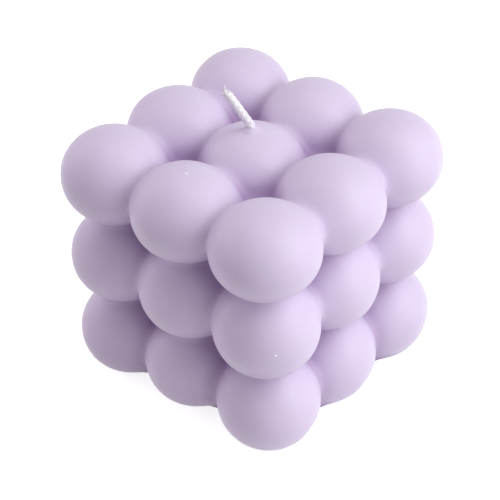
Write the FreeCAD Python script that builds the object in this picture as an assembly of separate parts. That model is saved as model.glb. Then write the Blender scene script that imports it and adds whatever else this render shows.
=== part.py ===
import FreeCAD
import Part
import math
import os

Vector = FreeCAD.Vector

# Layers of the cube, in mm: the balls stand a little closer together towards the base
balls_per_side = 3
top_pitch = 19.3
middle_pitch = 18.85
bottom_pitch = 18.65

# How the balls grow into one another
side_merge = 1.7            # overlap of two neighbours in a layer
lower_stack_merge = 1.1     # overlap of the bottom and the middle layer
upper_stack_merge = 2.5     # overlap of the middle and the top layer
groove_radius = 1.5         # soft bottom of the groove along each seam
wick_ball_sink = 0.8        # the ball that holds the wick sits this much lower

# Flat base, below the centres of the bottom layer
base_drop = 8.5

# Braided wick: straight up from the base, bent where it leaves the wax, curling on to its tip
wick_diameter = 1.8
wick_free_length = 9.7
wick_lean = 19.0        # degrees off the vertical where it leaves the wax
wick_tip_lean = 35.0    # and at its tip
wick_heading = 221.0    # degrees round from +X, seen from above
wick_bend_radius = 4.0
wick_end_rounding = 0.4

up = Vector(0, 0, 1)


def make_layers():
    """Layers from the bottom up, each with its ball size and the height of its centres."""
    stack = [(bottom_pitch, 0), (middle_pitch, lower_stack_merge), (top_pitch, upper_stack_merge)]
    made = []
    for pitch, merge in stack:
        radius = (pitch + side_merge) / 2
        level = made[-1]["level"] + made[-1]["radius"] + radius - merge if made else base_drop
        made.append({"pitch": pitch, "radius": radius, "level": level})
    return made


def places(pitch):
    """Offsets of a row's ball centres from the middle of the cube."""
    middle = (balls_per_side - 1) / 2
    return [(step - middle) * pitch for step in range(balls_per_side)]


def holds_wick(layer, x, y):
    return layer is layers[-1] and math.hypot(x, y) < layer["pitch"] / 2


def ball(layer, x, y):
    """One ball, turned so that its own meridian line faces away from the middle of the cube
    and every seam with a neighbour is one unbroken ring."""
    solid = Part.makeSphere(layer["radius"])
    solid.rotate(Vector(), up, math.degrees(math.atan2(y, x)))
    sink = wick_ball_sink if holds_wick(layer, x, y) else 0
    solid.translate(Vector(x, y, layer["level"] - sink))
    return solid


def all_balls():
    balls = []
    for layer in layers:
        for x in places(layer["pitch"]):
            for y in places(layer["pitch"]):
                balls.append(ball(layer, x, y))
    return balls


def seams_between_balls(body):
    """Edges where one ball's skin meets another's, which is where the grooves are."""
    seams = []
    for edge in body.Edges:
        skins = body.ancestorsOfType(edge, Part.Face)
        if len(skins) == 2 and all(isinstance(skin.Surface, Part.Sphere) for skin in skins):
            seams.append(edge)
    return seams


def square(layer):
    """Square through the centres of a layer's corner balls."""
    reach = max(places(layer["pitch"]))
    corners = [(-reach, -reach), (reach, -reach), (reach, reach), (-reach, reach), (-reach, -reach)]
    return Part.makePolygon([Vector(x, y, layer["level"]) for x, y in corners])


def core():
    """Solid wax between the balls, which closes the hollows where four of them meet."""
    return Part.makeLoft([square(layers[0]), square(layers[-1])], True)


def turning_arc(start, lean, new_lean, length):
    """Arc in the XZ plane that leaves start at one lean off the vertical and ends at another."""
    turn = new_lean - lean
    radius = length / turn
    centre = start + Vector(math.cos(lean), 0, -math.sin(lean)) * radius

    def point(angle):
        return centre + Vector(-math.cos(angle), 0, math.sin(angle)) * radius

    return Part.Arc(start, point(lean + turn / 2), point(new_lean))


def crown_height():
    """Where the wick leaves the ball that holds it."""
    return layers[-1]["level"] - wick_ball_sink + layers[-1]["radius"]


def wick():
    """Round cord, straight up to the crown of the middle ball and curved from there on."""
    lean = math.radians(wick_lean)
    crown = up * crown_height()
    bend = turning_arc(crown, 0, lean, wick_bend_radius * lean)
    curl = turning_arc(bend.EndPoint, lean, math.radians(wick_tip_lean), wick_free_length - bend.length())
    upright = Part.LineSegment(Vector(), crown)
    path = Part.Wire([piece.toShape() for piece in (upright, bend, curl)])
    section = Part.Wire(Part.makeCircle(wick_diameter / 2, Vector(), up))
    cord = path.makePipeShell([section], True, True)
    end_rim = max(cord.Edges, key=lambda edge: edge.CenterOfMass.z)
    cord = cord.makeFillet(wick_end_rounding, [end_rim])
    cord.rotate(Vector(), up, wick_heading)
    return cord.Solids[0]


def wick_hole():
    """Upright hole of the wick's own diameter, right through the wax."""
    return Part.makeCylinder(wick_diameter / 2, crown_height() + wick_diameter)


def below_base():
    reach = layers[0]["pitch"] * balls_per_side
    depth = 2 * layers[0]["radius"]
    return Part.makeBox(2 * reach, 2 * reach, depth, Vector(-reach, -reach, -depth))


def wax_body():
    """The cast body: balls round a core, cut flat below, with the wick's hole through the
    middle and every groove rounded."""
    body = core().multiFuse(all_balls()).Solids[0]
    body = body.cut(below_base()).cut(wick_hole()).Solids[0]
    return body.makeFillet(groove_radius, seams_between_balls(body)).Solids[0]


def save(shape, node):
    shape.exportStep("parts/" + node + ".step")
    box = shape.BoundBox
    print(node, "valid", shape.isValid(), "volume", round(shape.Volume),
          "size", round(box.XLength, 2), round(box.YLength, 2), round(box.ZLength, 2))


layers = make_layers()
os.makedirs("parts", exist_ok=True)
save(wax_body(), "wax_body")
save(wick(), "wick")
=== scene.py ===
import bpy
import math
from mathutils import Matrix, Vector


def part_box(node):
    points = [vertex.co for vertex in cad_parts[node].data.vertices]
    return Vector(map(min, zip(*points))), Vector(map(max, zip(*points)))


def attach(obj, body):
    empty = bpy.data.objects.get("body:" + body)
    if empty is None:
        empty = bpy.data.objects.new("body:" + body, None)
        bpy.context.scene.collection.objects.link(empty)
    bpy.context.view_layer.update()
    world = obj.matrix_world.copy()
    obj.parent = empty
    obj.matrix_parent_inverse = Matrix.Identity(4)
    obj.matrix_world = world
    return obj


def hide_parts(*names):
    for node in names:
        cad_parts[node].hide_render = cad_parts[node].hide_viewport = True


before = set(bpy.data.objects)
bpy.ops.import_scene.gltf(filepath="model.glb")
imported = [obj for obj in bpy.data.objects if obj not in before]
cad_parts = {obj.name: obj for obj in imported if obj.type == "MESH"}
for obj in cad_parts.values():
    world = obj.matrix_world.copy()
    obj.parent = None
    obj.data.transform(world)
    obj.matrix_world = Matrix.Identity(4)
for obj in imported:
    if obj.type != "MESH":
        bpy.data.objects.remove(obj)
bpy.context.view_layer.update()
print("frame loaded:", sorted(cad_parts))

mm = 0.001
up = Vector((0, 0, 1))


# Nodes as Python sums
class Wire:
    # one socket, which takes part in sums: every operator adds its Math node
    def __init__(self, graph, socket):
        self.graph = graph
        self.socket = socket

    def maths(self, operation, *values):
        return self.graph.add("ShaderNodeMath", {"operation": operation}, values)

    def __add__(self, other):
        return self.maths("ADD", self, other)

    def __radd__(self, other):
        return self.maths("ADD", other, self)

    def __sub__(self, other):
        return self.maths("SUBTRACT", self, other)

    def __rsub__(self, other):
        return self.maths("SUBTRACT", other, self)

    def __mul__(self, other):
        return self.maths("MULTIPLY", self, other)

    def __rmul__(self, other):
        return self.maths("MULTIPLY", other, self)

    def __truediv__(self, other):
        return self.maths("DIVIDE", self, other)

    def __rtruediv__(self, other):
        return self.maths("DIVIDE", other, self)

    def __neg__(self):
        return self.maths("MULTIPLY", self, -1.0)

    def __pow__(self, power):
        return self.maths("POWER", self, power)

    def __abs__(self):
        return self.maths("ABSOLUTE", self)

    def atLeast(self, other):
        return self.maths("MAXIMUM", self, other)

    def atMost(self, other):
        return self.maths("MINIMUM", self, other)

    def isUnder(self, other):           # 1 or 0
        return self.maths("LESS_THAN", self, other)

    def rounded(self):
        return self.maths("ROUND", self)

    def roundedDown(self):
        return self.maths("FLOOR", self)

    def remainder(self, other):
        return self.maths("MODULO", self, other)

    def root(self):
        return self.maths("SQRT", self)

    def sine(self):
        return self.maths("SINE", self)

    def cosine(self):
        return self.maths("COSINE", self)

    def exponential(self):              # capped, so that it can't overflow
        return self.maths("EXPONENT", self.atMost(60))

    def logarithm(self):
        return self.maths("LOGARITHM", self, math.e)

    def ramp(self, low, high):          # 0 below low, 1 above high, smooth between
        return self.graph.add(
            "ShaderNodeMapRange",
            {"interpolation_type": "SMOOTHSTEP"},
            {"Value": self, "From Min": low, "From Max": high},
        )

    def out(self, name):
        return Wire(self.graph, self.graph.pick(self.socket.node.outputs, name))


# One node tree. add() makes any node: its settings first, then its sockets
class Graph:
    def __init__(self, tree):
        self.tree = tree

    def pick(self, sockets, key):
        if isinstance(key, int):
            return sockets[key]
        return next(socket for socket in sockets if socket.enabled and socket.name == key)

    def plug(self, value, socket):
        if isinstance(value, Wire):
            self.tree.links.new(value.socket, socket)
        elif isinstance(value, list):
            for one in value:
                self.plug(one, socket)
        else:
            socket.default_value = value

    def add(self, kind, settings=None, values=(), out=None):
        node = self.tree.nodes.new(kind)
        for name, setting in (settings or {}).items():
            setattr(node, name, setting)
        pairs = values.items() if isinstance(values, dict) else enumerate(values)
        for key, value in pairs:
            self.plug(value, self.pick(node.inputs, key))
        shown = [socket for socket in node.outputs if socket.enabled]
        if not shown:
            return node
        return Wire(self, self.pick(node.outputs, out) if out is not None else shown[0])

    def vector(self, operation, *values):
        return self.add("ShaderNodeVectorMath", {"operation": operation}, values)

    def scaled(self, vector, factor):
        return self.add("ShaderNodeVectorMath", {"operation": "SCALE"}, {"Vector": vector, "Scale": factor})

    def length(self, vector):
        return self.add("ShaderNodeVectorMath", {"operation": "LENGTH"}, [vector], out="Value")

    def combine(self, x, y, z):
        return self.add("ShaderNodeCombineXYZ", {}, [x, y, z])

    def separate(self, vector):
        split = self.add("ShaderNodeSeparateXYZ", {}, [vector])
        return [split.out(axis) for axis in "XYZ"]

    def noise(self, place, scale, detail=2.0):
        wanted = {"Vector": place, "Scale": scale, "Detail": detail}
        return self.add("ShaderNodeTexNoise", {}, wanted, out="Fac")

    def blend(self, share, first, second):      # of two colours
        return self.add("ShaderNodeMix", {"data_type": "RGBA"}, {"Factor": share, "A": first, "B": second})

    def attribute(self, name):
        return self.add("ShaderNodeAttribute", {"attribute_name": name}, out="Fac")

    def bump(self, look, height):
        return self.add("ShaderNodeBump", {}, {
            "Strength": look["bump"], "Distance": look["bumpDepth"] * mm, "Height": height,
        })

    def stored(self, geometry, name, value):    # keeps a number at every point
        return self.add("GeometryNodeStoreNamedAttribute", {"data_type": "FLOAT", "domain": "POINT"}, {
            "Geometry": geometry, "Name": name, "Value": value,
        })

    def moved(self, geometry, offset):
        return self.add("GeometryNodeSetPosition", {}, {"Geometry": geometry, "Offset": offset})


socketKinds = {float: "NodeSocketFloat", int: "NodeSocketInt", tuple: "NodeSocketVector"}


# A new Geometry Nodes tree with named inputs, and its wires by name
def geometryTree(name, inputs, numbersOut=(), takesGeometry=False):
    tree = bpy.data.node_groups.new(name, "GeometryNodeTree")
    for label in numbersOut or ["Geometry"]:
        kind = "NodeSocketFloat" if numbersOut else "NodeSocketGeometry"
        tree.interface.new_socket(name=label, in_out="OUTPUT", socket_type=kind)
    if takesGeometry:
        tree.interface.new_socket(name="Geometry", in_out="INPUT", socket_type="NodeSocketGeometry")
    for label, value in inputs.items():
        item = tree.interface.new_socket(name=label, in_out="INPUT", socket_type=socketKinds[type(value)])
        item.default_value = value
    graph = Graph(tree)
    entry = tree.nodes.new("NodeGroupInput")
    wires = {socket.name: Wire(graph, socket) for socket in entry.outputs if socket.name}
    return graph, wires


def closeTree(graph, *results):
    exitNode = graph.tree.nodes.new("NodeGroupOutput")
    for socket, result in zip(exitNode.inputs, results):
        graph.plug(result, socket)


# Last nodes of a tree that makes a piece
def closePiece(graph, geometry, material):
    smooth = graph.add("GeometryNodeSetShadeSmooth", {}, {"Geometry": geometry})
    whole = graph.add("GeometryNodeRealizeInstances", {}, [smooth])
    closeTree(graph, graph.add("GeometryNodeSetMaterial", {}, {"Geometry": whole, "Material": material}))


def newObject(name, data):
    made = bpy.data.objects.new(name, data)
    bpy.context.scene.collection.objects.link(made)
    return made


# Runs a tree on an object and keeps the result as a plain mesh
def bakeTree(name, data, graph, values):
    source = newObject(name + "_source", data)
    modifier = source.modifiers.new("build", "NODES")
    modifier.node_group = graph.tree
    for item in graph.tree.interface.items_tree:
        if item.in_out == "INPUT" and item.name in values:
            modifier[item.identifier] = values[item.name]
    evaluated = source.evaluated_get(bpy.context.evaluated_depsgraph_get())
    mesh = bpy.data.meshes.new_from_object(evaluated)
    mesh.name = name
    bpy.data.objects.remove(source)
    piece = newObject(name, mesh)
    print(name, "made,", len(mesh.polygons), "faces")
    return piece


def newMaterial(name):
    material = bpy.data.materials.new(name)
    material.use_nodes = True
    material.node_tree.nodes.clear()
    return material, Graph(material.node_tree)


# Direction away from the candle, from angles in degrees
def direction(azimuth, elevation):
    azimuth, elevation = math.radians(azimuth), math.radians(elevation)
    level = math.cos(elevation)
    return Vector((math.sin(azimuth) * level, -math.cos(azimuth) * level, math.sin(elevation)))


# Camera, at the photograph's angle
camera = {
    "azimuth": 40.82,           # degrees round the candle
    "elevation": 37.29,
    "roll": -1.44,
    "distance": 330.6 * mm,
    "aimHeight": 27.85 * mm,    # middle of the middle layer
    "slideRight": 0.79 * mm,    # the candle sits this far right of the image's middle
    "slideDown": -1.60 * mm,
    "lens": 116.57,
    "sensor": 36,
    "nearest": 0.01,            # what is closer than this isn't drawn, in metres
}


def cameraAxes():
    azimuth, roll = math.radians(camera["azimuth"]), math.radians(camera["roll"])
    right = Vector((math.cos(azimuth), math.sin(azimuth), 0))
    back = direction(camera["azimuth"], camera["elevation"])
    rise = back.cross(right)
    imageRight = right * math.cos(roll) + rise * math.sin(roll)
    imageUp = rise * math.cos(roll) - right * math.sin(roll)
    return imageRight, imageUp, back


def makeCamera():
    right, rise, back = cameraAxes()
    data = bpy.data.cameras.new("camera")
    data.lens = camera["lens"]
    data.sensor_width = camera["sensor"]
    data.clip_start = camera["nearest"]
    eye = newObject("camera", data)
    place = up * camera["aimHeight"] - right * camera["slideRight"]
    place = place + rise * camera["slideDown"] + back * camera["distance"]
    turn = Matrix((right, rise, back)).transposed().to_4x4()
    eye.matrix_world = Matrix.Translation(place) @ turn
    bpy.context.scene.camera = eye


makeCamera()
print("camera placed")


# Wax: 27 balls cast as one, from a distance field. Lengths are in mm
wax = {
    "layers": {                 # pitch, half width and half height of a ball, height of its centre
        "Bottom": (18.63, 10.31, 10.11, 8.5),
        "Middle": (18.85, 10.48, 10.05, 27.87),
        "Top": (19.3, 10.61, 9.43, 46.55),
    },
    # how single balls came out of the mould: moved along x, y and z, wider, taller
    "quirks": {
        ("Bottom", 0, -1): (-0.25, 0.1, 0.4, 0, -0.25),
        ("Bottom", 1, -1): (0.1, 0.2, 0.1, 0, -0.1),
        ("Middle", 0, -1): (-0.2, -0.1, 0.1, 0, -0.15),
        ("Middle", 1, -1): (0, 0, 0, 0, -0.15),
        ("Top", -1, -1): (0, 0.3, 0.25, 0, 0.25),
        ("Top", -1, 0): (-0.2, -0.1, 0.1, 0, 0),
        ("Top", 0, -1): (-0.2, -0.15, 0, 0, -0.15),
        ("Top", 1, -1): (0, 0, 0, 0.1, -0.4),
        ("Top", 1, 0): (0.35, 0, -0.25, 0, -0.15),
        ("Top", 1, 1): (0.15, 0.1, 0, 0, 0),
    },
    # how much deeper the lower half of a bottom ball is than its upper half
    "sag": {
        ("Bottom", -1, -1): -0.2,
        ("Bottom", 0, -1): -0.7,
        ("Bottom", 1, -1): 0.1,
        ("Bottom", 1, 0): 0.5,
        ("Bottom", 1, 1): 1.3,
    },
    # spots pressed a little flat: heading from +X and tilt in degrees, depth of the flat.
    # A depth below 0 is just outside the ball, where the rounding still takes some wax off
    "flats": {
        ("Bottom", 1, -1): (18, -27, -0.15),
        ("Bottom", 1, 0): (18, -27, -0.1),
    },
    "flatRounding": 0.8,
    "plinthHalf": 21.5,         # the base was poured full, so a web joins the feet of the bottom balls
    "plinthShift": 1.1,         # its middle, along x and along y
    "plinthTurn": 0.03,         # slope by which it runs askew
    "wickBallSink": 0.79,
    "grooveSoftness": 1.05,
    "crowdingReach": 2.5,       # how far from a groove the painted shade begins
    "floorShade": 1.2,       # painted shade deepens the colour towards the floor as well
    # height over which the painted shade fades away from the floor
    "floorReach": 1.25,
    "undersideHeight": 0.3,     # below this the base has the plain colour, without painted shade
    "rimRadius": 0.8,           # worn edge of the flat base
    "dimpleRadius": 2.2,        # shallow dimple round the wick's end in the base
    "dimpleDepth": 0.6,
    "dimpleRim": 0.4,
    "collarRadius": 1.1,        # wax that climbs the wick
    "collarHeight": 0.5,
    "collarSoftness": 0.525,
    "voxel": 0.72,
    "margin": 1.5,              # of the grid round the solid
    "swell": 0.12,              # height of the slow unevenness of the skin
    "swellSize": 9.0,
    "swellStart": 2.0,          # height over the base at which it is at its full strength
}


def waxSizes():
    sizes = {}
    for layer, (pitch, halfWidth, halfHeight, level) in wax["layers"].items():
        sizes[layer + " Pitch"] = pitch * mm
        sizes[layer + " Half Width"] = halfWidth * mm
        sizes[layer + " Half Height"] = halfHeight * mm
        sizes[layer + " Level"] = level * mm
    sizes["Plinth Half"] = wax["plinthHalf"] * mm
    sizes["Plinth Shift"] = wax["plinthShift"] * mm
    sizes["Wick Ball Sink"] = wax["wickBallSink"] * mm
    sizes["Groove Softness"] = wax["grooveSoftness"] * mm
    sizes["Crowding Reach"] = wax["crowdingReach"] * mm
    sizes["Floor Reach"] = wax["floorReach"] * mm
    sizes["Rim Radius"] = wax["rimRadius"] * mm
    sizes["Dimple Radius"] = wax["dimpleRadius"] * mm
    sizes["Dimple Depth"] = wax["dimpleDepth"] * mm
    sizes["Dimple Rim"] = wax["dimpleRim"] * mm
    sizes["Collar Radius"] = wax["collarRadius"] * mm
    sizes["Collar Height"] = wax["collarHeight"] * mm
    sizes["Collar Softness"] = wax["collarSoftness"] * mm
    return sizes


# Distance to a ball whose lower half may be deeper or shallower than the upper one
def ballGroup():
    graph, wires = geometryTree(
        "waxBall",
        {"Place": (0.0, 0.0, 0.0), "Centre": (0.0, 0.0, 0.0),
         "Half Width": 1.0, "Half Height": 1.0, "Sag": 0.0},
        ["Distance"],
    )
    offset = graph.vector("SUBTRACT", wires["Place"], wires["Centre"])
    tall = wires["Half Height"] + wires["Sag"] * graph.separate(offset)[2].isUnder(0.0)
    radii = graph.combine(wires["Half Width"], wires["Half Width"], tall)
    once = graph.vector("DIVIDE", offset, radii)
    twice = graph.vector("DIVIDE", once, radii)
    reach = graph.length(once)
    closeTree(graph, reach * (reach - 1) / graph.length(twice).atLeast(1e-6))
    return graph.tree


# Distance to a box, from how far a point is past each pair of its sides
def boxDistance(graph, gaps):
    outside = graph.length(graph.combine(*[gap.atLeast(0) for gap in gaps]))
    return outside + gaps[0].atLeast(gaps[1]).atLeast(gaps[2]).atMost(0)


# Solid wax between the balls, through the centres of the outer ones
def coreDistance(graph, wires, x, y, z):
    low, high = wires["Bottom Level"], wires["Top Level"]
    share = ((z - low) / (high - low)).atLeast(0).atMost(1)
    half = wires["Bottom Pitch"] + share * (wires["Top Pitch"] - wires["Bottom Pitch"])
    middle = (low + high) * 0.5
    return boxDistance(graph, [abs(x) - half, abs(y) - half, abs(z - middle) - (high - low) * 0.5])


# Square block of wax that joins the feet of the bottom balls
def plinthDistance(graph, wires, x, y, z):
    turned = y - x * wax["plinthTurn"]
    sides = [abs(side - wires["Plinth Shift"]) - wires["Plinth Half"] for side in (x, turned)]
    return boxDistance(graph, [*sides, z - wires["Bottom Level"]])


# A ball pressed flat at one spot
def flattened(graph, wires, distance, centre, halfWidth, flat):
    heading, tilt, depth = math.radians(flat[0]), math.radians(flat[1]), flat[2] * mm
    way = (math.cos(tilt) * math.cos(heading), math.cos(tilt) * math.sin(heading), math.sin(tilt))
    offset = graph.vector("SUBTRACT", wires["Place"], centre)
    reach = graph.add("ShaderNodeVectorMath", {"operation": "DOT_PRODUCT"}, [offset, way], out="Value")
    return roundCut(distance, reach - halfWidth + depth, wax["flatRounding"] * mm)


# How many surfaces are about as near as the nearest one: 1 on open skin, 2 in a groove
def crowd(distances, reach):
    total = (-distances[0] / reach).exponential()
    for distance in distances[1:]:
        total = total + (-distance / reach).exponential()
    return total


# Union whose grooves are soft: the nearer a second surface, the more wax fills the corner
def softUnion(distances, softness):
    return -softness * crowd(distances, softness).logarithm()


# Where both distances are inside, with a rounded edge
def roundCut(first, second, radius):
    squares = (radius + first).atLeast(0) ** 2 + (radius + second).atLeast(0) ** 2
    return first.atLeast(second).atMost(-radius) + squares.root()


def ballDistances(graph, wires):
    oneBall = ballGroup()
    distances = []
    for layer in wax["layers"]:
        pitch = wires[layer + " Pitch"]
        for column in (-1, 0, 1):
            for row in (-1, 0, 1):
                which = (layer, column, row)
                quirk = wax["quirks"].get(which, (0, 0, 0, 0, 0))
                right, back, rise, wider, taller = (value * mm for value in quirk)
                level = wires[layer + " Level"] + rise
                if layer == "Top" and (column, row) == (0, 0):
                    level = level - wires["Wick Ball Sink"]
                centre = graph.combine(pitch * column + right, pitch * row + back, level)
                halfWidth = wires[layer + " Half Width"] + wider
                distance = graph.add("GeometryNodeGroup", {"node_tree": oneBall}, {
                    "Place": wires["Place"], "Centre": centre, "Half Width": halfWidth,
                    "Half Height": wires[layer + " Half Height"] + taller,
                    "Sag": wax["sag"].get(which, 0.0) * mm,
                })
                if which in wax["flats"]:
                    distance = flattened(graph, wires, distance, centre, halfWidth, wax["flats"][which])
                distances.append(distance)
    return distances


# The whole solid, and how crowded its surfaces are at a point, which sets the painted shade of the wax
def distanceGroup():
    graph, wires = geometryTree(
        "waxDistance", {"Place": (0.0, 0.0, 0.0), **waxSizes()}, ["Distance", "Crowding"],
    )
    x, y, z = graph.separate(wires["Place"])
    distances = [coreDistance(graph, wires, x, y, z), plinthDistance(graph, wires, x, y, z)]
    distances = distances + ballDistances(graph, wires)
    body = softUnion(distances, wires["Groove Softness"])
    crown = wires["Top Level"] - wires["Wick Ball Sink"] + wires["Top Half Height"]
    fromAxis = graph.length(graph.combine(x, y, 0.0))
    collar = (fromAxis - wires["Collar Radius"]).atLeast(z - crown - wires["Collar Height"])
    collar = collar.atLeast(wires["Middle Level"] - z)
    body = softUnion([body, collar], wires["Collar Softness"])
    body = roundCut(body, -z, wires["Rim Radius"])
    hollow = graph.combine(fromAxis / wires["Dimple Radius"], z / wires["Dimple Depth"], 0.0)
    dimple = (graph.length(hollow) - 1) * wires["Dimple Depth"]
    body = roundCut(body, -dimple, wires["Dimple Rim"])
    # painted shade: crowded grooves and the wax near the floor, where shade falls, get a darker colour
    crowding = crowd(distances, wires["Crowding Reach"])
    crowding = crowding + wax["floorShade"] * (-z / wires["Floor Reach"]).exponential()
    closeTree(graph, body, crowding * z.ramp(0.0, wax["undersideHeight"] * mm))
    return graph.tree


def waxTree(material):
    extra = {"Voxel": wax["voxel"] * mm, "Swell": wax["swell"] * mm, "Swell Size": wax["swellSize"] * mm,
             "Low": (0.0, 0.0, 0.0), "High": (1.0, 1.0, 1.0)}
    sizes = waxSizes()
    graph, wires = geometryTree("waxCast", {**sizes, **extra})
    group = distanceGroup()
    given = {name: wires[name] for name in sizes}
    place = graph.add("GeometryNodeInputPosition")

    def distanceAt(point):
        return graph.add("GeometryNodeGroup", {"node_tree": group}, {**given, "Place": point})

    spans = graph.separate(graph.vector("SUBTRACT", wires["High"], wires["Low"]))
    steps = [(span / wires["Voxel"]).rounded() for span in spans]
    cloud = graph.add("GeometryNodeVolumeCube", {}, {
        "Density": -distanceAt(place), "Background": -1.0, "Min": wires["Low"], "Max": wires["High"],
        "Resolution X": steps[0], "Resolution Y": steps[1], "Resolution Z": steps[2],
    })
    skin = graph.add("GeometryNodeVolumeToMesh", {"resolution_mode": "GRID"}, {
        "Volume": cloud, "Threshold": 0.0, "Adaptivity": 0.0,
    })
    # two steps along the normal bring the grid's points onto the true surface
    probe, leastSlope = 0.05 * mm, 0.3
    normal = graph.add("GeometryNodeInputNormal")
    for step in range(2):
        here = distanceAt(place)
        ahead = distanceAt(graph.vector("ADD", place, graph.scaled(normal, probe)))
        slope = ((ahead - here) / probe).atLeast(leastSlope)
        skin = graph.moved(skin, graph.scaled(normal, -here / slope))
    # wax cools a little unevenly; the wave runs from -1 to 1
    wave = (graph.noise(place, 1 / wires["Swell Size"], 1.0) - 0.5) * 2
    clear = graph.separate(place)[2].ramp(0.0, wax["swellStart"] * mm)
    skin = graph.moved(skin, graph.scaled(normal, wave * wires["Swell"] * clear))
    # the crowding, kept for the material's painted shade
    skin = graph.stored(skin, "crowding", distanceAt(place).out("Crowding"))
    closePiece(graph, skin, material)
    return graph


waxLook = {
    "skin": (0.68, 0.577, 0.77, 1),
    "bloom": (0.72, 0.625, 0.805, 1),       # paler, where the wax has bloomed
    "groove": (0.20, 0.07, 0.28, 1),        # painted shade, darker down in the grooves and towards the floor
    "crumb": (0.94, 0.91, 0.96, 1),
    # crumbs of pale wax that stuck to the skin: place and radius, in mm
    "crumbs": [
        ((0.5, -19.5, 55.8), 0.24),
        ((0.9, -19.6, 55.8), 0.24),
        ((26.73, -25.62, 29.16), 0.3),
    ],
    "crumbCore": 0.6,           # share of a crumb's radius that is fully pale
    "paintedShadeRamp": (1.3, 2.7),   # crowding at which the painted shade begins, and is full
    "cloudScale": 90.0,
    "grainScale": 1800.0,
    "bump": 0.15,
    "bumpDepth": 0.05,
    "roughness": 0.42,
    "specular": 0.35,
    "subsurface": 0.25,
    "subsurfaceRadius": (1.0, 0.7, 1.0),
    "subsurfaceScale": 1.5,
}


def waxMaterial():
    material, graph = newMaterial("lilacWax")
    place = graph.add("ShaderNodeTexCoord", out="Object")
    skin = graph.blend(graph.noise(place, waxLook["cloudScale"], 3.0), waxLook["skin"], waxLook["bloom"])
    # painted shade in the grooves and towards the floor
    paintedShade = graph.attribute("crowding").ramp(*waxLook["paintedShadeRamp"])
    colour = graph.blend(paintedShade, skin, waxLook["groove"])
    crumbs = None
    for centre, radius in waxLook["crumbs"]:
        away = graph.length(graph.vector("SUBTRACT", place, tuple(value * mm for value in centre)))
        crumb = 1 - away.ramp(radius * waxLook["crumbCore"] * mm, radius * mm)
        crumbs = crumb if crumbs is None else crumbs.atLeast(crumb)
    colour = graph.blend(crumbs, colour, waxLook["crumb"])
    bump = graph.bump(waxLook, graph.noise(place, waxLook["grainScale"]))
    shader = graph.add("ShaderNodeBsdfPrincipled", {}, {
        "Base Color": colour, "Normal": bump,
        "Roughness": waxLook["roughness"], "Specular IOR Level": waxLook["specular"],
        "Subsurface Weight": waxLook["subsurface"], "Subsurface Radius": waxLook["subsurfaceRadius"],
        "Subsurface Scale": waxLook["subsurfaceScale"] * mm,
    })
    graph.add("ShaderNodeOutputMaterial", {}, {"Surface": shader})
    return material


def makeWax():
    material = waxMaterial()
    graph = waxTree(material)
    margin = Vector((1, 1, 1)) * wax["margin"] * mm
    low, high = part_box("wax_body")
    values = {"Low": low - margin, "High": high + margin}
    piece = bakeTree("wax_cast", bpy.data.meshes.new("seed"), graph, values)
    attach(piece, "root")
    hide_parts("wax_body")


makeWax()


# Wick: eight cotton strands braided round a core, cut off slanting and frayed at the tip.
# Lengths are in mm
wick = {
    "start": 0.35,              # height of its lower end, up in the dimple of the base
    "width": 1.9,               # across the braid, in the plane it leans in
    "thickness": 1.5,
    "narrowing": 0.08,          # share of the width lost between the wax and the tip
    "freeLength": 9.9,
    "lean": 30.0,               # degrees off the vertical just above the wax
    "tipLean": 31.5,
    "heading": 221.0,           # degrees round from +X, seen from above
    "bendRadius": 3.4,
    "step": 0.22,               # between rings of a strand
    "strands": 8,
    "strandRadius": 0.29,
    "weave": 0.06,              # how far a strand rises and dips at each crossing
    "turn": 5.6,                # length in which a strand goes once round
    "strandSides": 8,
    "slant": 0.55,              # how much further the outer side reaches at the tip
    "slantReach": 2.75,         # length over which the slant grows
    "unevenness": 0.35,         # spread of the strands' lengths
    "unevenReach": 2.0,
    "coreStart": 0.1,           # where the core begins, and how far before the tip it ends
    "coreEnd": 0.25,
    "coreFill": 1.2,            # its radius, over that of the room inside the strands
    "coreSides": 12,
    "fibres": 44,
    "fibreRadius": 0.035,
    "fibreLength": 0.45,
    "fibreRoot": 1.2,           # how far back in the wick the fibres and the wisp begin
    "fibrePoints": 6,
    "fibreSides": 5,
    "fibreSpread": 0.9,         # share of the cut's area that they fill
    "fibreSplay": 0.45,
    "fibreShortest": 0.1,       # share of the full length
    "wispFibres": 22,           # the wisp that stands up on the outer side of the tip
    "wispRadius": 0.1,
    "wispLength": 1.6,
    "wispPoints": 8,
    "wispPlace": 0.6,           # share of the half width at which it stands
    "wispGather": 0.4,          # share by which its fibres draw together
    "wispInside": 0.1,          # share of its radius at which its inmost fibres lie
    "wispShortest": 0.55,
    "wispLean": 0.2,            # how much it leans back
    "seed": 7,
}


def wickCrown():
    pitch, halfWidth, halfHeight, level = wax["layers"]["Top"]
    return level - wax["wickBallSink"] + halfHeight


# Leaning angle of the wick in radians, by the distance along it from the base of the wax
def wickLean(travelled):
    past = travelled - wickCrown()
    lean, tipLean = math.radians(wick["lean"]), math.radians(wick["tipLean"])
    bend = wick["bendRadius"] * lean
    if past < bend:
        return max(past, 0) / wick["bendRadius"]
    return lean + (tipLean - lean) * (past - bend) / (wick["freeLength"] - bend)


def wickLine():
    heading = math.radians(wick["heading"])
    outward = Vector((math.cos(heading), math.sin(heading), 0))
    length = wickCrown() - wick["start"] + wick["freeLength"]
    count = round(length / wick["step"])
    step = length / count
    points = [up * wick["start"]]
    for index in range(count):
        lean = wickLean(wick["start"] + (index + 0.5) * step)
        points.append(points[-1] + (outward * math.sin(lean) + up * math.cos(lean)) * step)
    curve = bpy.data.curves.new("wickLine", "CURVE")
    curve.dimensions = "3D"
    spline = curve.splines.new("POLY")
    spline.points.add(len(points) - 1)
    for place, point in zip(spline.points, points):
        place.co = (*(point * mm), 1)
    return curve, outward


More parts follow.
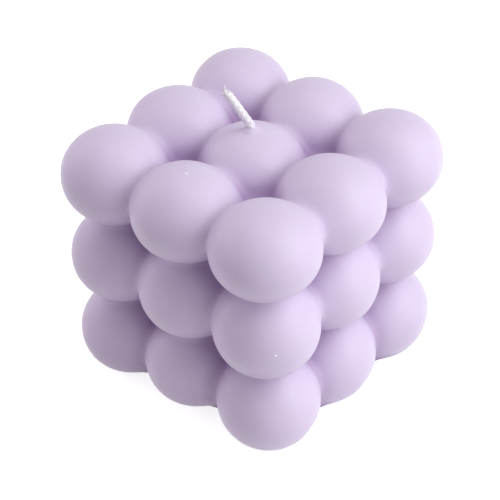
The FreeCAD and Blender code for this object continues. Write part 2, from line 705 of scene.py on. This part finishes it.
def wickSizes(outward):
    return {
        "Half Width": wick["width"] / 2 * mm,
        "Half Thickness": wick["thickness"] / 2 * mm,
        "Narrowing": wick["narrowing"],
        "Crown": (wickCrown() - wick["start"]) * mm,
        "Strands": wick["strands"],
        "Strand Radius": wick["strandRadius"] * mm,
        "Weave": wick["weave"] * mm,
        "Turn": wick["turn"] * mm,
        "Slant": wick["slant"] * mm,
        "Unevenness": wick["unevenness"] * mm,
        "Fibres": wick["fibres"],
        "Fibre Radius": wick["fibreRadius"] * mm,
        "Fibre Length": wick["fibreLength"] * mm,
        "Wisp Fibres": wick["wispFibres"],
        "Wisp Length": wick["wispLength"] * mm,
        "Wisp Radius": wick["wispRadius"] * mm,
        "Wisp Way": tuple(up - outward * wick["wispLean"]),
        "Side": tuple(up.cross(outward)),
        "Seed": wick["seed"],
    }


# Tube along each curve; "along" and "around" stay on the mesh for the material
def tube(graph, curve, radius, sides):
    ring = graph.add("GeometryNodeCurvePrimitiveCircle", {}, {"Resolution": sides, "Radius": radius})
    ring = graph.stored(ring, "around", graph.add("GeometryNodeSplineParameter", out="Factor"))
    return graph.add("GeometryNodeCurveToMesh", {}, {
        "Curve": curve, "Profile Curve": ring, "Fill Caps": True,
    })


# Offset from the wick's middle line, in the braid's own directions
def besideLine(graph, wires, outer, sideways, forward):
    tangent = graph.add("GeometryNodeInputTangent")
    across = graph.vector("CROSS_PRODUCT", wires["Side"], tangent)      # points to the outer side
    moved = graph.vector("ADD", graph.scaled(across, outer), graph.scaled(wires["Side"], sideways))
    return graph.vector("ADD", moved, graph.scaled(tangent, forward))


# Part of a curve between two lengths along it, which are its sockets 4 and 5
def stretch(graph, line, start, end):
    return graph.add("GeometryNodeTrimCurve", {"mode": "LENGTH"}, {0: line, 4: start, 5: end})


# The last part of the wick's line, in which loose fibres begin
def tipLine(graph, line, length, points):
    last = stretch(graph, line, length - wick["fibreRoot"] * mm, length)
    return graph.add("GeometryNodeResampleCurve", {"mode": "COUNT"}, {"Curve": last, "Count": points})


def copiesOf(graph, source, count):
    copies = graph.add("GeometryNodeDuplicateElements", {"domain": "SPLINE"},
                       {"Geometry": source, "Amount": count}, out="Geometry")
    return copies, copies.out("Duplicate Index")


def randomly(graph, wires, low, high, index, salt):
    return graph.add("FunctionNodeRandomValue", {"data_type": "FLOAT"}, {
        "Min": low, "Max": high, "ID": index, "Seed": wires["Seed"] + salt})


def along(graph):
    return graph.add("GeometryNodeSplineParameter", out="Length")


# The cut slants: towards the tip the outer side runs further ahead
def slanting(graph, wires, outer, length):
    grown = along(graph).ramp(length - wick["slantReach"] * mm, length)
    return grown * wires["Slant"] * outer / wires["Half Width"]


def braidStrands(graph, wires, line, length):
    strands, index = copiesOf(graph, line, wires["Strands"])
    way = 1 - 2 * index.remainder(2)        # half of the strands wind each way
    phase = (index / 2).roundedDown() * (4 * math.pi) / wires["Strands"]
    turned = along(graph) * (2 * math.pi) / wires["Turn"]
    angle = way * turned + phase
    rise = way * (turned * wires["Strands"] / 2).cosine() * wires["Weave"]
    taper = 1 - wires["Narrowing"] * along(graph).ramp(wires["Crown"], length)
    inset = wires["Strand Radius"] + wires["Weave"] - rise
    outer = (wires["Half Width"] - inset) * angle.sine() * taper
    sideways = (wires["Half Thickness"] - inset) * angle.cosine() * taper
    short = randomly(graph, wires, 0.0, wires["Unevenness"], index, 1)
    short = short * along(graph).ramp(length - wick["unevenReach"] * mm, length)
    forward = slanting(graph, wires, outer, length) - short
    strands = graph.moved(strands, besideLine(graph, wires, outer, sideways, forward))
    return tube(graph, strands, wires["Strand Radius"], wick["strandSides"])


# Filling inside the braid, so that no light shows through
def braidCore(graph, wires, line, length):
    core = stretch(graph, line, wick["coreStart"] * mm, length - wick["coreEnd"] * mm)
    inside = (wires["Half Width"] + wires["Half Thickness"]) / 2 - wires["Strand Radius"]
    return tube(graph, core, inside * wick["coreFill"], wick["coreSides"])


# Loose fibres that stand out of the cut end, each a thin thread that splays outwards
def looseFibres(graph, wires, line, length):
    fibres, index = copiesOf(graph, tipLine(graph, line, length, wick["fibrePoints"]), wires["Fibres"])
    share = graph.add("GeometryNodeSplineParameter", out="Factor")
    angle = randomly(graph, wires, 0.0, 2 * math.pi, index, 2)
    reach = randomly(graph, wires, 0.0, wick["fibreSpread"], index, 3).root()
    splay = randomly(graph, wires, 0.0, wick["fibreSplay"], index, 4) * share * share
    ahead = randomly(graph, wires, wick["fibreShortest"], 1.0, index, 5) * wires["Fibre Length"] * share
    outer = angle.sine() * (reach + splay) * (wires["Half Width"] - wires["Strand Radius"])
    sideways = angle.cosine() * (reach + splay) * (wires["Half Thickness"] - wires["Strand Radius"])
    forward = ahead + wires["Slant"] * outer / wires["Half Width"]
    fibres = graph.moved(fibres, besideLine(graph, wires, outer, sideways, forward))
    return tube(graph, fibres, wires["Fibre Radius"], wick["fibreSides"])


# The wisp: fibres that draw together as they rise, almost straight up
def wisp(graph, wires, line, length):
    fibres, index = copiesOf(graph, tipLine(graph, line, length, wick["wispPoints"]), wires["Wisp Fibres"])
    share = graph.add("GeometryNodeSplineParameter", out="Factor")
    angle = randomly(graph, wires, 0.0, 2 * math.pi, index, 6)
    reach = randomly(graph, wires, wick["wispInside"], 1.0, index, 7) * wires["Strand Radius"]
    reach = reach * (1 - share * wick["wispGather"])
    outer = wires["Half Width"] * wick["wispPlace"] + angle.sine() * reach
    offset = besideLine(graph, wires, outer, angle.cosine() * reach, wires["Slant"] / 2)
    rise = randomly(graph, wires, wick["wispShortest"], 1.0, index, 8) * wires["Wisp Length"]
    offset = graph.vector("ADD", offset, graph.scaled(wires["Wisp Way"], share * share * rise))
    return tube(graph, graph.moved(fibres, offset), wires["Wisp Radius"], wick["fibreSides"])


def wickTree(material, sizes):
    graph, wires = geometryTree("wickBraid", sizes, takesGeometry=True)
    length = graph.add("GeometryNodeSplineLength", out="Length")
    line = graph.stored(wires["Geometry"], "along", along(graph))
    parts = [make(graph, wires, line, length) for make in (braidStrands, braidCore, looseFibres, wisp)]
    closePiece(graph, graph.add("GeometryNodeJoinGeometry", {}, {"Geometry": parts}), material)
    return graph


# Cotton: yarns twisted along each strand, with painted shade between them and painted light on their
# ridges, and wax drawn up into the lowest millimetres
wickLook = {
    # painted shade between the yarns, and painted light on them
    "shaded": (0.91, 0.89, 0.93, 1),
    "lit": (0.95, 0.935, 0.965, 1),
    "soaked": (0.86, 0.80, 0.90, 1),
    "soakedShare": 0.6,
    "soakedFade": (0.6, 2.2),   # heights over the crown between which the soaking fades, in mm
    "yarns": 4,                 # round each strand
    "yarnPitch": 1.3,           # length in which one comes round to the next, in mm
    "yarnShare": 0.55,          # of the painted shading; the rest is grain
    "grainScale": 9000.0,
    "bump": 0.15,
    "bumpDepth": 0.04,
    "roughness": 0.8,
    "specular": 0.3,
    "sheen": 0.5,
    "sheenRoughness": 0.4,
}


def wickMaterial():
    material, graph = newMaterial("whiteCotton")
    runs = graph.attribute("along")
    place = graph.add("ShaderNodeTexCoord", out="Object")
    twist = graph.attribute("around") * (2 * math.pi * wickLook["yarns"])
    twist = twist + runs * (2 * math.pi / (wickLook["yarnPitch"] * mm))
    yarns = twist.sine() * 0.5 + 0.5
    grain = graph.noise(place, wickLook["grainScale"])
    shade = yarns * wickLook["yarnShare"] + grain * (1 - wickLook["yarnShare"])
    # painted light and shade of the yarns, mixed with grain
    cotton = graph.blend(shade, wickLook["shaded"], wickLook["lit"])
    crown = wickCrown() - wick["start"]
    soaked = 1 - runs.ramp(*[(crown + height) * mm for height in wickLook["soakedFade"]])
    colour = graph.blend(soaked * wickLook["soakedShare"], cotton, wickLook["soaked"])
    shader = graph.add("ShaderNodeBsdfPrincipled", {}, {
        "Base Color": colour, "Normal": graph.bump(wickLook, shade),
        "Roughness": wickLook["roughness"], "Specular IOR Level": wickLook["specular"],
        "Sheen Weight": wickLook["sheen"], "Sheen Roughness": wickLook["sheenRoughness"],
    })
    graph.add("ShaderNodeOutputMaterial", {}, {"Surface": shader})
    return material


def makeWick():
    curve, outward = wickLine()
    sizes = wickSizes(outward)
    piece = bakeTree("wick_braid", curve, wickTree(wickMaterial(), sizes), sizes)
    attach(piece, "root")
    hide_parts("wick")


makeWick()


# Room: a floor and a backdrop that both show white, and soft lamps. Lengths are in metres
room = {
    "floorReach": 3.0,
    "floorColour": (0.74, 0.74, 0.74, 1),
    "floorLift": 0.8,           # glow that brings the floor up to white, where it is seen directly
    "backdrop": 1.0,            # world as the camera sees it, and as it lights the candle
    "ambient": 0.165,
    "white": (1, 1, 1, 1),
    "ambientColour": (1.0, 0.9, 1.0, 1),
    "lampDistance": 0.8,
    "lampWidth": 0.6,
}

# azimuth and elevation of each lamp in degrees, its power and its colour
lamps = {
    "lowKeyLamp": (104, 15, 2.45, (0.96, 1, 0.98)),
    "highKeyLamp": (120, 47, 3.3, (0.95, 1, 0.98)),
    "sideLamp": (75, 30, 0.75, (1, 0.9, 1)),
    "fillLamp": (285, 20, 1.5, (1, 0.93, 1)),
    "highFillLamp": (270, 50, 0.62, (1, 1, 1)),
    "frontLamp": (330, 20, 0.56, (1, 0.98, 1)),
    "topLamp": (220, 86, 0.95, (1, 1, 0.97)),
}


def seenDirectly(graph):
    path = graph.add("ShaderNodeLightPath")
    mirrored = path.out("Is Glossy Ray").atLeast(path.out("Is Transmission Ray"))
    return path.out("Is Camera Ray").atLeast(mirrored)


def makeFloor():
    reach = room["floorReach"]
    corners = [(-reach, -reach, 0), (reach, -reach, 0), (reach, reach, 0), (-reach, reach, 0)]
    mesh = bpy.data.meshes.new("floor")
    mesh.from_pydata(corners, [], [(0, 1, 2, 3)])
    floor = newObject("floor", mesh)
    material, graph = newMaterial("paleFloor")
    shader = graph.add("ShaderNodeBsdfPrincipled", {}, {
        "Base Color": room["floorColour"], "Roughness": 1.0, "Specular IOR Level": 0.0,
        "Emission Color": room["white"], "Emission Strength": seenDirectly(graph) * room["floorLift"],
    })
    graph.add("ShaderNodeOutputMaterial", {}, {"Surface": shader})
    mesh.materials.append(material)


def makeWorld():
    world = bpy.data.worlds.new("studio")
    world.use_nodes = True
    world.node_tree.nodes.clear()
    bpy.context.scene.world = world
    graph = Graph(world.node_tree)
    direct = seenDirectly(graph)
    strength = direct * room["backdrop"] + (1 - direct) * room["ambient"]
    colour = graph.blend(direct, room["ambientColour"], room["white"])
    sky = graph.add("ShaderNodeBackground", {}, {"Color": colour, "Strength": strength})
    graph.add("ShaderNodeOutputWorld", {}, {"Surface": sky})


def areaLamp(name, azimuth, elevation, power, colour):
    back = direction(azimuth, elevation)
    data = bpy.data.lights.new(name, "AREA")
    data.shape = "DISK"
    data.size = room["lampWidth"]
    data.energy = power
    data.color = colour
    lamp = newObject(name, data)
    lamp.location = up * camera["aimHeight"] + back * room["lampDistance"]
    lamp.rotation_euler = (-back).to_track_quat("-Z", "Y").to_euler()


makeFloor()
makeWorld()
for name, settings in lamps.items():
    areaLamp(name, *settings)
print("room lit")

bpy.context.scene.view_settings.view_transform = "Standard"
